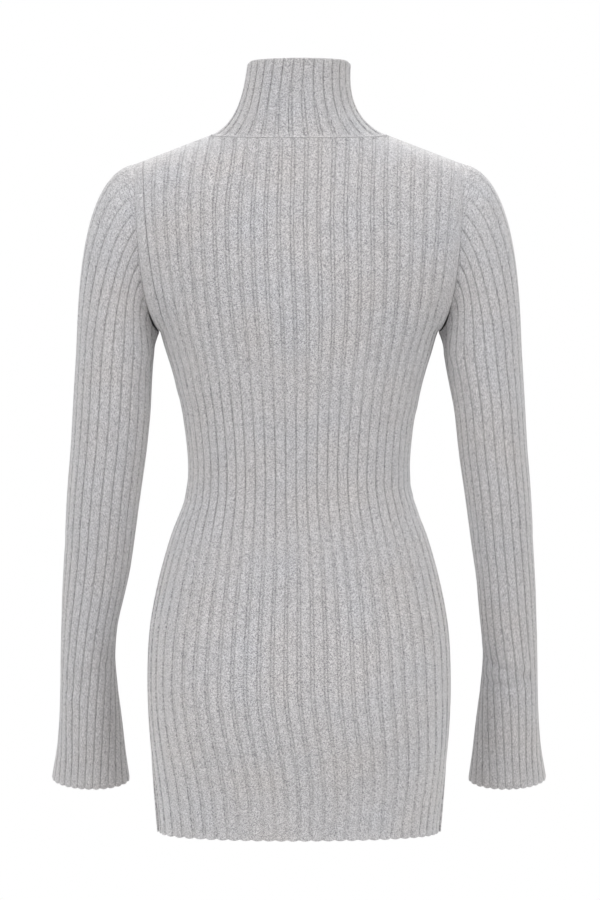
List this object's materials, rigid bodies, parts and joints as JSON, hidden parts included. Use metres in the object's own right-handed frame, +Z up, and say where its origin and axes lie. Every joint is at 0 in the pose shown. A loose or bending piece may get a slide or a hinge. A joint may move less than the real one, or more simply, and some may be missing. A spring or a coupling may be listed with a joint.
{
  "type": "sweater dress",
  "caption": "Wide-rib knit mini dress with a tall funnel collar and long set-in sleeves that narrow at the wrist and flare at the cuff, hollow and filled out as worn.",
  "frame": {"origin": "where the wearer's shoulders hold the dress: on the middle line, level with the two neck points at the top of the shoulder seams", "axes": "+Z up from hem to collar, +X towards the wearer's left sleeve, +Y out of the wearer's back"},
  "size_m": [0.554, 0.2132, 0.8434],
  "materials": {
    "heather_rib_knit": "matte, slightly hairy rib knit"
  },
  "bodies": {
    "root": {"back": "heather_rib_knit", "front": "heather_rib_knit", "sleeve_left": "heather_rib_knit", "sleeve_right": "heather_rib_knit", "collar": "heather_rib_knit"}
  },
  "joints": []
}
